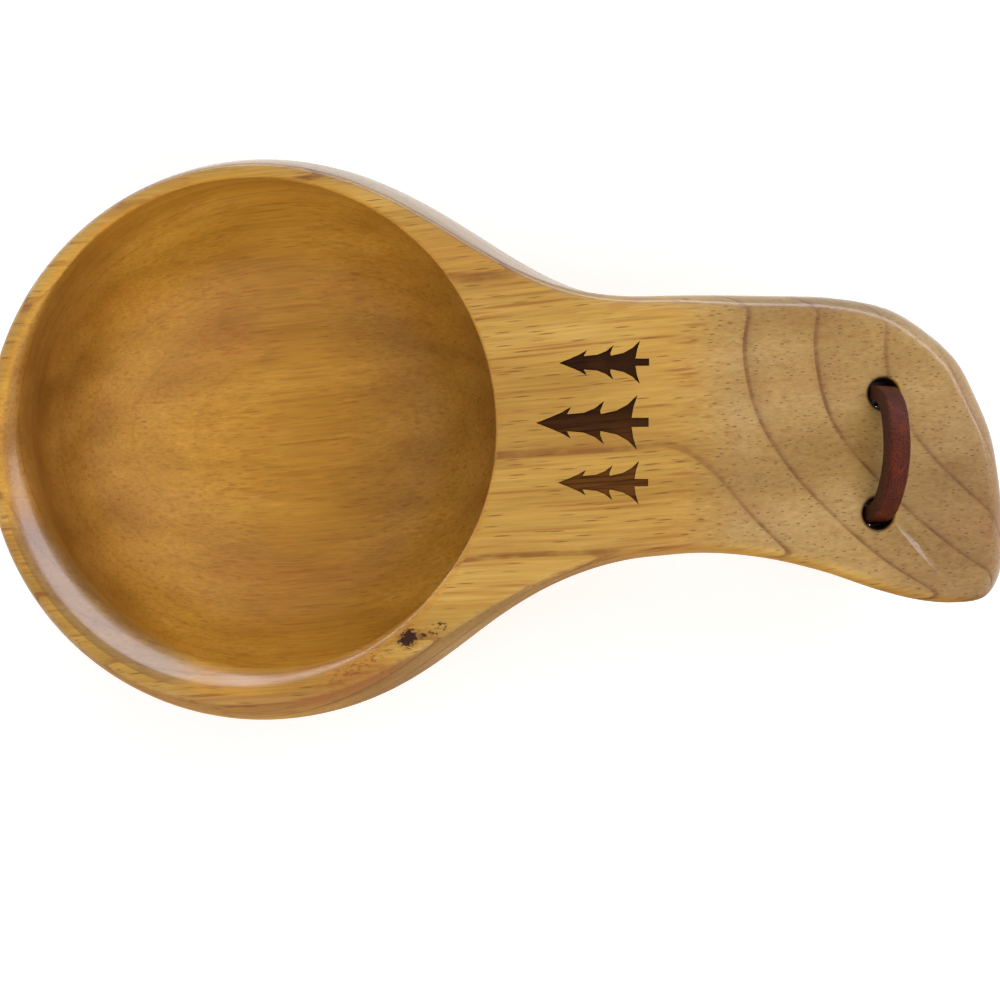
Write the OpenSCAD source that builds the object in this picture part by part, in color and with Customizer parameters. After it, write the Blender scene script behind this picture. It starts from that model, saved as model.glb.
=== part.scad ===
// Kuksa: a wooden drinking cup carved from one block, with a broad handle and a leather lace.
// Frame: origin at the centre of the foot, +Z up, +X along the handle.

/* [Bowl] */
// Height of the rim above the foot
cup_h = 56; // [52:1:60]
// Inner radius at the rim
rim_r = 44; // [42:0.5:46]
// Width of the flat lip around the rim
lip_w = 2.4; // [2:0.1:3]
// Outer radius at the belly, the widest place
belly_r = 49; // [48.5:0.1:52]
// Height of the belly above the foot
belly_z = 43; // [38:1:45]
// Radius of the flat foot
foot_r = 28; // [26:0.5:32]
// Thickness of wood under the drink
floor_t = 12; // [9:0.5:14]

/* [Handle] */
// Distance from the bowl's axis to the tip of the handle
handle_len = 127; // [118:1:135]
// Width of the handle at its neck
handle_w = 43; // [40:1:46]
// Distance from the bowl's axis to the bend in the handle's top
bend_x = 78; // [74:1:82]
// Angle at which the handle's top falls away past the bend
grip_drop = 20; // [16:1:22]
// Height of the arch under the handle
arch_z = 36; // [34:1:38]
// Rounding of the handle's upper edge
edge_top_r = 2.2; // [1.5:0.1:3.5]
// Rounding of the handle's lower edge
edge_low_r = 5; // [3:0.1:5.5]

/* [Lace] */
// Diameter of each lace hole
hole_d = 5.5; // [5:0.1:6.5]
// Distance between the two lace holes
hole_gap = 20; // [18:0.5:22]
// Distance from the bowl's axis to the lace holes
hole_x = 107.5; // [105:0.5:109]
// Diameter of a round cord with the same section as the lace
lace_d = 3.4; // [3:0.1:3.8]

/* [Burned mark] */
// Height of the tallest tree in the mark
tree_h = 19; // [15:0.5:20]
// Distance between neighbouring trees
tree_pitch = 10; // [9:0.5:11]
// Depth of the burned mark
mark_depth = 0.3; // [0.2:0.05:0.6]

/* [Hidden] */

// Bowl: steps along each curve of the turned profile, and its small radii.
curve_steps = 14;
lip_out_r = 1.5;
lip_in_r = 1;
cavity_r = rim_r + 1.3;
cavity_z = belly_z - 2;
draw_steps = 4;
lip_step = 30;
turn_fn = 96;

// Handle: the outline seen from above, from the tip back to the bowl, first along +Y and then along -Y.
// Each point is [share of handle_len, share of handle_w], and a smooth curve runs through them.
outline_left = [
    [1.000, -0.28], [0.995, -0.14], [0.985, 0.02], [0.965, 0.17], [0.940, 0.31], [0.900, 0.42],
    [0.850, 0.505], [0.780, 0.535], [0.700, 0.535], [0.620, 0.53], [0.540, 0.53], [0.460, 0.555],
    [0.370, 0.65], [0.285, 0.77], [0.200, 0.92], [0.110, 1.03]
];
outline_right = [
    [1.000, -0.32], [1.000, -0.44], [0.995, -0.54], [0.975, -0.62], [0.935, -0.64], [0.890, -0.63],
    [0.835, -0.59], [0.765, -0.52], [0.690, -0.475], [0.615, -0.46], [0.545, -0.475], [0.460, -0.545],
    [0.375, -0.63], [0.300, -0.755], [0.210, -0.90], [0.125, -1.01]
];
row_steps = 3;
col_steps = 16;
tip_crowding = 1.3;

// Handle: length of the bend, the sweep of the underside up from the bowl, and its fall to the tip.
bend_len = 14;
sweep_in_r = 46;
sweep_out_r = 66;
sweep_h = 14;
under_fall_x = 80;
under_fall = 9;
under_fall_power = 1.5;

// Lace holes: square to the sloping top, the -Y one a little nearer to the bowl.
hole_mid_y = -3;
hole_skew = 0.4;
hole_len = 60;
hole_fn = 48;

// Lace: the route of its middle line, from one free end through both holes to the other free end.
lace_sides = 8;
lace_route = [
    [101, -18, 1.8], [100.8, -15, 1.8], [100.5, -12, 1.8], [100.3, -8.8, 2.4], [100.2, -6.1, 4.2],
    [100.1, -4.2, 6.8], [100, -3, 9.5], [100.3, -1.2, 13.6], [100.8, 1.6, 18.6], [101.3, 4.2, 23.3],
    [101.9, 6.3, 28], [103, 7, 32.2], [105.3, 7, 38.6], [107.6, 7, 44.9], [108.8, 6.2, 48.3],
    [109.8, 4.1, 51.2], [110.4, 0.8, 53.2], [110.6, -3, 53.9], [110.2, -6.8, 53.2], [109.3, -10.1, 51.2],
    [108.2, -12.2, 48.3], [106.9, -13, 44.9], [104.6, -13, 38.6], [102.3, -13, 32.2], [100.8, -12.3, 28],
    [99.4, -10.3, 23.3], [98, -7.7, 18.6], [96.7, -5, 13.6], [96, -3, 9.5], [95.8, -1.8, 6.8],
    [95.5, 0.1, 4.2], [95.1, 2.8, 2.4], [94.5, 6, 1.8], [93.8, 9, 1.8], [93, 12, 1.8]
];
knot_mid = [98, -3, 9.5];
knot_r = 6;
knot_h = 9;
knot_fn = 48;
knot_end_a = 70;
knot_step_a = 20;
knot_squareness = 0.6;

// Burned mark: three trees on the flat top, with their tops toward the bowl. Shares are of a tree's height.
mark_foot_x = 70;
mark_mid_y = 1.5;
tree_tiers = 3;
side_tree_share = 0.8;
trunk_w_share = 0.08;
trunk_h_share = 0.12;
branch_share = 0.24;
branch_taper = 0.05;
neck_share = 0.08;

module cup() {
    color("burlywood")
    difference() {
        union() {
            bowl_outside();
            handle();
        }
        bowl_inside();
        lace_holes();
        burned_mark();
    }
}

// Turned outside of the bowl: foot, a quarter oval up to the belly, then a slow draw in to the lip.
module bowl_outside() {
    rotate_extrude($fn = turn_fn)
    polygon(concat(
        [[0, 0]],
        [for (i = [0 : curve_steps]) low_profile(90 * i / curve_steps)],
        [for (i = [1 : draw_steps])
            upper_profile(belly_z + (cup_h - lip_out_r - belly_z) * i / draw_steps)],
        [for (a = [lip_step : lip_step : 90]) lip_arc(rim_r + lip_w - lip_out_r, lip_out_r, a)],
        [[0, cup_h]]
    ));
}

function low_profile(a) = [foot_r + (belly_r - foot_r) * sin(a), belly_z * (1 - cos(a))];

function upper_profile(z) =
    [belly_r - (belly_r - rim_r - lip_w) * pow((z - belly_z) / (cup_h - belly_z), 2), z];

function lip_arc(r, size, a) = [r + size * cos(a), cup_h - size + size * sin(a)];

// Hollow of the bowl: half an oval up to cavity_z, then a slow draw in to the lip's rounded inner edge.
module bowl_inside() {
    depth = cavity_z - floor_t;
    lip_z = cup_h - lip_in_r;
    rotate_extrude($fn = turn_fn)
    polygon(concat(
        [for (i = [0 : curve_steps])
            [cavity_r * sin(90 * i / curve_steps), cavity_z - depth * cos(90 * i / curve_steps)]],
        [for (i = [1 : draw_steps]) let (t = i / draw_steps)
            [cavity_r - (cavity_r - rim_r) * t * t, cavity_z + (lip_z - cavity_z) * t]],
        [for (a = [lip_step : lip_step : 90])
            [rim_r + lip_in_r * (1 - cos(a)), lip_z + lip_in_r * sin(a)]],
        [[rim_r + lip_in_r, cup_h + 1], [0, cup_h + 1]]
    ));
}

// Handle: rows run across it from the tip to inside the bowl's wall, with a top and a low skin.
module handle() {
    left = smooth_line(outline_left);
    right = smooth_line(outline_right);
    rows = len(left);
    cols = col_steps + 1;
    edge = concat([for (i = [rows - 1 : -1 : 0]) left[i]], right);
    spots = [for (i = [0 : rows - 1]) [for (j = [0 : col_steps])
        let (t = (1 - cos(180 * j / col_steps)) / 2)
        left[i] + (right[i] - left[i]) * t]];
    gaps = [for (i = [0 : rows - 1]) [for (j = [0 : col_steps])
        (j == 0 || j == col_steps) ? 0 : line_gap(spots[i][j], edge)]];
    top = [for (i = [0 : rows - 1]) for (j = [0 : col_steps])
        [spots[i][j][0], spots[i][j][1], top_z(spots[i][j][0]) - edge_drop(gaps[i][j], edge_top_r)]];
    low = [for (i = [0 : rows - 1]) for (j = [0 : col_steps])
        [spots[i][j][0], spots[i][j][1], low_z(spots[i][j]) + edge_drop(gaps[i][j], edge_low_r)]];
    n = rows * cols;
    last = n - cols;
    polyhedron(
        points = concat(top, low),
        faces = concat(
            [for (i = [0 : rows - 2]) for (j = [0 : col_steps - 1]) let (p = i * cols + j)
                [p, p + 1, p + 1 + cols, p + cols]],
            [for (i = [0 : rows - 2]) for (j = [0 : col_steps - 1]) let (p = n + i * cols + j)
                [p + cols, p + 1 + cols, p + 1, p]],
            [for (i = [0 : rows - 2]) let (p = i * cols) [p, p + cols, n + p + cols, n + p]],
            [for (i = [0 : rows - 2]) let (p = i * cols + col_steps)
                [p + cols, p, n + p, n + p + cols]],
            [for (j = [0 : col_steps - 1]) [j + 1, j, n + j, n + j + 1]],
            [for (j = [0 : col_steps - 1]) [last + j, last + j + 1, n + last + j + 1, n + last + j]]
        )
    );
}

// Height of the handle's top: level with the rim, then a bend, then a straight slope to the tip.
function top_z(x) = let (start = bend_x - bend_len / 2, t = (x - start) / bend_len)
    t <= 0 ? cup_h :
    t >= 1 ? cup_h - tan(grip_drop) * (x - bend_x) :
    cup_h - tan(grip_drop) * bend_len / 2 * t * t;

// Height of the handle's underside: it sweeps up out of the bowl and falls a little toward the tip.
function low_z(p) =
    arch_z
    - sweep_h * pow(max(0, min(1, (sweep_out_r - norm(p)) / (sweep_out_r - sweep_in_r))), 2)
    - under_fall * pow(max(0, (p[0] - under_fall_x) / (handle_len - under_fall_x)), under_fall_power);

// Fall of a rounded edge at a distance from the outline.
function edge_drop(gap, r) = gap >= r ? 0 : r - sqrt(r * r - (r - gap) * (r - gap));

function line_gap(p, line) = min([for (i = [0 : len(line) - 2]) segment_gap(p, line[i], line[i + 1])]);

function segment_gap(p, a, b) = let (
    along = b - a,
    t = max(0, min(1, (p - a) * along / (along * along)))
) norm(p - a - along * t);

// Curve through the shares of an outline, in millimetres, with its points crowded toward the tip.
function smooth_line(shares) = let (
    spans = len(shares) - 1,
    count = spans * row_steps,
    points = [for (s = shares) [s[0] * handle_len, s[1] * handle_w]]
) [for (i = [0 : count]) curve_point(points, spans * pow(i / count, tip_crowding))];

// Point on the Catmull-Rom curve through a list of points.
function curve_point(p, u) = let (
    last = len(p) - 1,
    i = min(floor(u), last - 1),
    t = u - i,
    a = i > 0 ? p[i - 1] : 2 * p[0] - p[1],
    b = p[i],
    c = p[i + 1],
    d = i + 2 <= last ? p[i + 2] : 2 * p[last] - p[last - 1]
) (2 * b + (c - a) * t + (2 * a - 5 * b + 4 * c - d) * t * t + (3 * b - a - 3 * c + d) * t * t * t) / 2;

module lace_holes() {
    for (side = [-1, 1])
        let (x = hole_x + side * hole_skew)
        translate([x, hole_mid_y + side * hole_gap / 2, top_z(x)])
        rotate([0, grip_drop, 0])
        cylinder(d = hole_d, h = hole_len, center = true, $fn = hole_fn);
}

// Shallow burned mark of three spruce trees.
module burned_mark() {
    for (side = [-1 : 1])
        translate([mark_foot_x, mark_mid_y + side * tree_pitch, cup_h - mark_depth])
        linear_extrude(height = 1)
        spruce(side == 0 ? tree_h : tree_h * side_tree_share);
}

// Spruce outline: a short trunk and tiers of branches, standing on Y with its top toward -X.
module spruce(h) {
    trunk_w = trunk_w_share * h;
    trunk_h = trunk_h_share * h;
    tier_h = (h - trunk_h) / tree_tiers;
    sides = [for (i = [0 : tree_tiers - 1]) let (
        base = trunk_h + i * tier_h,
        half = (branch_share - branch_taper * i) * h,
        neck = i == tree_tiers - 1 ? 0 : neck_share * h
    ) each [[base, half], [base + tier_h, neck]]];
    polygon(concat(
        [[0, trunk_w / 2], [-trunk_h, trunk_w / 2]],
        [for (p = sides) [-p[0], p[1]]],
        [for (i = [len(sides) - 2 : -1 : 0]) [-sides[i][0], -sides[i][1]]],
        [[-trunk_h, -trunk_w / 2], [0, -trunk_w / 2]]
    ));
}

// Lace: one tube swept along its route.
module lace() {
    color("saddlebrown")
    tube(lace_route, lace_d, lace_sides);
}

// Tube with a ring of points square to the route at each of its points.
module tube(route, d, sides) {
    rings = len(route);
    points = [for (k = [0 : rings - 1]) each ring(route, k, d / 2, sides)];
    polyhedron(
        points = points,
        faces = concat(
            [[for (j = [sides - 1 : -1 : 0]) j]],
            [for (k = [0 : rings - 2]) for (j = [0 : sides - 1]) let (
                a = k * sides + j,
                b = k * sides + (j + 1) % sides
            ) [a, b, b + sides, a + sides]],
            [[for (j = [0 : sides - 1]) (rings - 1) * sides + j]]
        )
    );
}

// Ring of points around the route's point k. The route never runs along X, so X sets the ring's start.
function ring(route, k, r, sides) = let (
    ahead = route[min(k + 1, len(route) - 1)] - route[max(k - 1, 0)],
    dir = ahead / norm(ahead),
    side = cross(dir, [1, 0, 0]),
    u = side / norm(side),
    v = cross(dir, u)
) [for (j = [0 : sides - 1]) route[k] + r * cos(360 * j / sides) * u + r * sin(360 * j / sides) * v];

// Knot: the lace's two strands tied together, as a barrel with rounded ends.
module lace_knot() {
    color("brown")
    translate(knot_mid)
    rotate_extrude($fn = knot_fn)
    polygon(concat(
        [[0, -knot_h / 2]],
        [for (a = [-knot_end_a : knot_step_a : knot_end_a])
            [knot_r * pow(cos(a), knot_squareness), knot_h / 2 * sin(a) / sin(knot_end_a)]],
        [[0, knot_h / 2]]
    ));
}

cup();
lace();
lace_knot();
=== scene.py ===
"""Kuksa: a wooden drinking cup with a leather lace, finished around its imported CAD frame.

Shapes are worked out in millimetres and handed to Blender in metres. The cup's outside is one field, a
turned bowl melted into a broad handle, which is meshed on a grid. The bowl's hollow, the lace holes and the
burned mark are then cut into that mesh, each with its own rings or outline.
"""
import math

import bmesh
import bpy
import numpy as np
from mathutils import Matrix, Vector
from mathutils.geometry import delaunay_2d_cdt


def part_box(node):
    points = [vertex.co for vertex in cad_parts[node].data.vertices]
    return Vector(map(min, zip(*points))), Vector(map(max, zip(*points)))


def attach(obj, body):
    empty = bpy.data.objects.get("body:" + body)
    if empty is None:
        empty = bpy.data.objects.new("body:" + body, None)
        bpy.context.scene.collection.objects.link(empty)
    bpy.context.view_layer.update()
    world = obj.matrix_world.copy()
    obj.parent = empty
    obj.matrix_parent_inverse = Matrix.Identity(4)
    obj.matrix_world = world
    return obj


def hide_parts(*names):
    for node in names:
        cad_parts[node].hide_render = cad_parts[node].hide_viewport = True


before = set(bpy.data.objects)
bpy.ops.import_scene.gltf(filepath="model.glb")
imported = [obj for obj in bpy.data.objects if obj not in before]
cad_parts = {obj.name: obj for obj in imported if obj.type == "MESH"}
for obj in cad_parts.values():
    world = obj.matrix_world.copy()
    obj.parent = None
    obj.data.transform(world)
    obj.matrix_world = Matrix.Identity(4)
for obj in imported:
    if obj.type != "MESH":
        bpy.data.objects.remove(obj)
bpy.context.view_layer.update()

MM = 0.001
CUP_LOW, CUP_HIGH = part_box("cup")

# Bowl, in millimetres. The first three sizes come from the frame.
CUP_H = CUP_HIGH.z / MM
BELLY_R = -CUP_LOW.x / MM
HANDLE_LEN = CUP_HIGH.x / MM
RIM_R = 44.0
LIP_W = 2.4
BELLY_Z = 43.0
FOOT_R = 28.0
FLOOR_T = 12.0
CAVITY_R = 45.3
CAVITY_Z = 41.0
LIP_OUT_R = 0.8
LIP_IN_R = 0.7

# The wall's lean into the bowl below the lip: how far, the turn of its middle, how steep it is there, how
# much steeper for each radian past it, and the depths between which it fades out.
FLARE_W = 6.0
FLARE_TURN = math.radians(236)
FLARE_TILT = 1.2
FLARE_TILT_GAIN = 0.2
FLARE_FADE = (7, 30)

# Handle: an outline seen from above, from the tip back into the bowl, first along +Y and then along -Y.
# Each point is [share of HANDLE_LEN, share of HANDLE_W], and a smooth curve runs through them.
HANDLE_W = 43.0
OUTLINE_LEFT = [
    [1.000, -0.28], [0.995, -0.14], [0.985, 0.02], [0.965, 0.17], [0.940, 0.31], [0.900, 0.42],
    [0.850, 0.505], [0.780, 0.54], [0.700, 0.54], [0.620, 0.535], [0.540, 0.53], [0.400, 0.52],
    [0.150, 0.52],
]
OUTLINE_RIGHT = [
    [1.000, -0.32], [1.000, -0.44], [0.995, -0.54], [0.975, -0.62], [0.935, -0.64], [0.890, -0.63],
    [0.835, -0.59], [0.765, -0.522], [0.690, -0.473], [0.615, -0.455], [0.540, -0.47], [0.400, -0.52],
    [0.150, -0.56],
]
OUTLINE_STEPS = 10
BEND_X = 78.0
BEND_LEN = 14.0
GRIP_DROP = math.radians(20)
ARCH_Z = 36.0
UNDER_FALL_X = 80.0
UNDER_FALL = 9.0
UNDER_FALL_POWER = 1.5
EDGE_TOP_R = 2.2
EDGE_TOP_LEFT_R = 3.6
EDGE_LOW_R = 6.0
EDGE_TURN_Y = (-10, 15)
EDGE_RISE_X = 45.0
EDGE_RISE_LEN = 40.0
MELT_TOP = 26.0
MELT_LOW_RIGHT = 20.0
MELT_LOW_LEFT = 28.0
MELT_TURN_Y = (-20, 20)
MELT_RISE_Z = 40.0
MELT_RISE_LEN = 16.0

# Lace holes, square to the sloping top.
HOLE_R = 2.45
HOLE_X = 107.5
HOLE_SKEW = 0.4
HOLE_MID_Y = -3.0
HOLE_GAP = 20.0
HOLE_EDGE_R = 0.9

# Burned mark: three spruces on the flat top, with their tops toward the bowl. Shares are of a tree's height.
MARK_DEPTH = 0.3
MARK_FOOT_X = 70.0
MARK_MID_X = 61.0
MARK_MID_Y = 1.5
MARK_HALF_X = 11.5
MARK_HALF_Y = 16.5
TREE_H = 19.0
TREE_PITCH = 10.0
SIDE_TREE_SHARE = 0.8
TREE_TIERS = 3
TRUNK_W_SHARE = 0.08
TRUNK_H_SHARE = 0.12
BRANCH_SHARE = 0.24
BRANCH_TAPER = 0.05
NECK_SHARE = 0.075

# Lace: the route of its middle line, in metres, and the section of the strap in millimetres.
LACE_ROUTE = [
    (0.101, -0.018, 0.0018), (0.1008, -0.015, 0.0018), (0.1005, -0.012, 0.0018), (0.1003, -0.0088, 0.0024),
    (0.1002, -0.0061, 0.0042), (0.1001, -0.0042, 0.0068), (0.1, -0.003, 0.0095), (0.1003, -0.0012, 0.0136),
    (0.1008, 0.0016, 0.0186), (0.1013, 0.0042, 0.0233), (0.1019, 0.0063, 0.028), (0.103, 0.007, 0.0322),
    (0.1053, 0.007, 0.0386), (0.1076, 0.007, 0.0449), (0.1088, 0.0062, 0.0483), (0.1098, 0.0041, 0.0512),
    (0.1104, 0.0008, 0.0532), (0.1106, -0.003, 0.0539), (0.1102, -0.0068, 0.0532), (0.1093, -0.0101, 0.0512),
    (0.1082, -0.0122, 0.0483), (0.1069, -0.013, 0.0449), (0.1046, -0.013, 0.0386), (0.1023, -0.013, 0.0322),
    (0.1008, -0.0123, 0.028), (0.0994, -0.0103, 0.0233), (0.098, -0.0077, 0.0186), (0.0967, -0.005, 0.0136),
    (0.096, -0.003, 0.0095), (0.0958, -0.0018, 0.0068), (0.0955, 0.0001, 0.0042), (0.0951, 0.0028, 0.0024),
    (0.0945, 0.006, 0.0018), (0.0938, 0.009, 0.0018), (0.093, 0.012, 0.0018),
]
LACE_W = 4.0
LACE_T = 2.6
LACE_CORNER_R = 0.45
LACE_LEAN_Z = (5, 30)
LACE_TWIST = math.radians(20)
LACE_TWIST_Z = (44, 53)
ROUTE_STEPS = 6

# Wood: growth rings are tubes around a pith line that runs along the grain, below the cup. They are a step
# apart, and a slow wave along the radius makes some years wide and others narrow.
GRAIN_TURN = math.radians(4.6)
ALONG_GRAIN = (math.cos(GRAIN_TURN), math.sin(GRAIN_TURN), 0)
PITH_Y = 8.8
PITH_Z = -38.2
RING_STEP = 4.6
RING_SWAY = 0.25
RING_SWAY_LEN = 7.0

# Places on the wood, each the middle and radii of an oval, and its turn in plan where it has one.
BOWL_SPOT = ((0, 0, 41), (44.5, 44.5, 60))
# LIP_SPOT marks the flared wall under the lip, where the wood gets a painted lavender reflection and more
# coat.
LIP_SPOT = ((-24, -27, 60), (24, 24, 13))
TIP_SPOT = ((125, -15, 40), (22, 30, 40))
# The oval on the -Y rim where the wood is painted darker as shade.
SOUTH_RIM_SHADE_SPOT = ((0, -60, 56), (60, 19, 8))
RIM_STREAK_SPOT = ((19, -42.5, 55), (13, 2.2, 6), math.radians(22))
HOOK_SPOT = ((65.9, 21.4, 56), (3.6, 1.0, 3), math.radians(14))
KNOT_SPOT = ((29.6, -34.6, 56), (1.9, 1.6, 2.5), math.radians(30))
SPECKS_SPOT = ((34.0, -33.2, 56), (3.2, 1.2, 2), math.radians(25))
RIM_SPECKS_SPOT = ((20.5, -39.6, 56), (8.0, 1.4, 2), math.radians(27))
CREASE_SPOT = ((113.4, -17.8, 43.0), (9.5, 0.9, 6), math.radians(-49.5))
CREASE_DEPTH = 0.38

# Tints of the wood: the factors of red, green and blue. The south rim, north, shady, bowl and lip tints are
# painted light and shade, not the wood's own tone.
SLOPE_TINT = (0.70, 0.73, 1.06)
TIP_TINT = (0.76, 0.72, 0.80)
# Painted shade: a darker, pinker tone along the -Y rim.
SOUTH_RIM_PAINTED_SHADE_TINT = (0.84, 0.78, 0.95)
# Painted reflection: a greyer tone on the sides that face +Y.
NORTH_PAINTED_REFLECTION_TINT = (0.75, 0.78, 0.76)
# Painted shade: a darker, more orange tone on the sides that face -Y.
SHADY_PAINTED_SHADE_TINT = (0.78, 0.70, 0.55)
# Painted bounce light: a warmer, more saturated tone in the hollow.
BOWL_PAINTED_BOUNCE_TINT = (1.08, 0.95, 0.55)
# Painted reflection: a pale lavender band on the flared wall under the lip.
LIP_PAINTED_REFLECTION_TINT = (0.62, 0.69, 1.4)
END_WALL_TINT = (0.58, 0.53, 0.75)
BLOTCH_TINT = (0.91, 0.89, 0.89)


def srgb(red, green, blue):
    """Colour from 0 to 255 display values, as the linear numbers that a shader takes."""
    shares = [value / 255 for value in (red, green, blue)]
    return [s / 12.92 if s <= 0.04045 else ((s + 0.055) / 1.055) ** 2.4 for s in shares] + [1.0]


def smooth_step(value, low, high):
    """0 below low, 1 above high and an S curve between them."""
    t = np.clip((value - low) / (high - low), 0, 1)
    return t * t * (3 - 2 * t)


def curve_through(points, steps):
    """Catmull-Rom curve through the points, with that many steps between each two."""
    p = np.asarray(points, float)
    p = np.vstack([2 * p[0] - p[1], p, 2 * p[-1] - p[-2]])
    rows = []
    for a, b, c, d in zip(p, p[1:], p[2:], p[3:]):
        for t in np.arange(steps) / steps:
            bend = (2 * a - 5 * b + 4 * c - d) * t**2
            rows.append((2 * b + (c - a) * t + bend + (3 * b - a - 3 * c + d) * t**3) / 2)
    rows.append(p[-2])
    return np.array(rows)


# ---------------------------------------------------------------- the cup's outside, as a field

def closed_outline():
    """The handle's outline as one closed line of points, in millimetres."""
    size = np.array([HANDLE_LEN, HANDLE_W])
    left = curve_through(np.array(OUTLINE_LEFT) * size, OUTLINE_STEPS)
    right = curve_through(np.array(OUTLINE_RIGHT) * size, OUTLINE_STEPS)
    return np.concatenate([left[::-1], right])


def outline_distance(x, y, outline):
    """Distance to a closed line, below zero inside it."""
    nearest = np.full(x.shape, np.inf)
    inside = np.zeros(x.shape, bool)
    for a, b in zip(outline, np.roll(outline, -1, 0)):
        along = b - a
        t = np.clip(((x - a[0]) * along[0] + (y - a[1]) * along[1]) / (along @ along), 0, 1)
        np.minimum(nearest, (x - a[0] - t * along[0]) ** 2 + (y - a[1] - t * along[1]) ** 2, out=nearest)
        if a[1] != b[1]:
            crossing = (b[0] - a[0]) * (y - a[1]) / (b[1] - a[1]) + a[0]
            inside ^= ((a[1] > y) != (b[1] > y)) & (x < crossing)
    return np.where(inside, -1, 1) * np.sqrt(nearest)


class PlanMap:
    """Distance to the handle's outline, looked up on a grid by its four nearest points."""

    def __init__(self, xs, ys):
        self.xs, self.ys = xs, ys
        x, y = np.meshgrid(xs, ys, indexing="ij")
        self.values = outline_distance(x, y, closed_outline())

    def at(self, x, y):
        u = np.clip(np.interp(x, self.xs, np.arange(len(self.xs))), 0, len(self.xs) - 1.001)
        v = np.clip(np.interp(y, self.ys, np.arange(len(self.ys))), 0, len(self.ys) - 1.001)
        i, j = u.astype(int), v.astype(int)
        u, v = u - i, v - j
        low = self.values[i, j] * (1 - u) + self.values[i + 1, j] * u
        high = self.values[i, j + 1] * (1 - u) + self.values[i + 1, j + 1] * u
        return low * (1 - v) + high * v


def melt(a, b, reach):
    """Union of two fields with a soft fillet where they meet."""
    h = np.clip(reach - np.abs(a - b), 0, None) / reach
    return np.minimum(a, b) - h * h * reach / 4


def round_cut(a, b, radius):
    """Intersection of two fields with a rounded edge."""
    u, v = np.clip(a + radius, 0, None), np.clip(b + radius, 0, None)
    return np.minimum(np.maximum(a, b), -radius) + np.sqrt(u * u + v * v)


def top_height(x):
    """Height of the cup's top: level, then a bend, then a straight slope to the tip."""
    slope = math.tan(GRIP_DROP)
    t = (x - (BEND_X - BEND_LEN / 2)) / BEND_LEN
    bend = CUP_H - slope * BEND_LEN / 2 * t * t
    return np.where(t <= 0, CUP_H, np.where(t >= 1, CUP_H - slope * (x - BEND_X), bend))


def bowl_field(x, y, z):
    """Turned outside of the bowl: a quarter oval up to the belly, then a slow draw in to the lip."""
    r = np.hypot(x, y)
    spread = BELLY_R - FOOT_R
    out, up = np.clip(r - FOOT_R, 0, None), BELLY_Z - z
    share = np.maximum(np.sqrt((out / spread) ** 2 + (up / BELLY_Z) ** 2), 1e-6)
    low = np.hypot(out, up) * (1 - 1 / share)
    draw = (BELLY_R - RIM_R - LIP_W) * ((z - BELLY_Z) / (CUP_H - BELLY_Z)) ** 2
    return np.where(z < BELLY_Z, low, r - BELLY_R + draw)


def body_field(x, y, z, plan):
    """The whole cup before its hollow and holes are cut: below zero in the wood."""
    past = np.clip((x - UNDER_FALL_X) / (HANDLE_LEN - UNDER_FALL_X), 0, None)
    fall = UNDER_FALL * past**UNDER_FALL_POWER
    handle = round_cut(plan, ARCH_Z - fall - z, EDGE_LOW_R)
    melt_low = MELT_LOW_RIGHT + (MELT_LOW_LEFT - MELT_LOW_RIGHT) * smooth_step(y, *MELT_TURN_Y)
    reach = melt_low + (MELT_TOP - melt_low) * np.clip((z - MELT_RISE_Z) / MELT_RISE_LEN, 0, 1)
    body = melt(bowl_field(x, y, z), handle, reach)
    slope = np.clip((x - BEND_X) / BEND_LEN + 0.5, 0, 1) * math.tan(GRIP_DROP)
    top = (z - top_height(x)) / np.sqrt(1 + slope**2)
    grip_edge = EDGE_TOP_R + (EDGE_TOP_LEFT_R - EDGE_TOP_R) * smooth_step(y, *EDGE_TURN_Y)
    edge = LIP_OUT_R + (grip_edge - LIP_OUT_R) * np.clip((x - EDGE_RISE_X) / EDGE_RISE_LEN, 0, 1)
    return np.maximum(round_cut(body, top, edge), -z)


# ---------------------------------------------------------------- meshing the field

# Steps of the grid, finer in height near the cup's top, and the places where it starts and changes.
GRID_XY = 0.65
GRID_Z = 1.0
GRID_Z_TOP = 0.42
GRID_SIDE = 51.3
GRID_FOOT_Z = -1.1
GRID_TOP_Z = 50.2
CUT_MARGIN = 1.5 * GRID_XY


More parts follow.
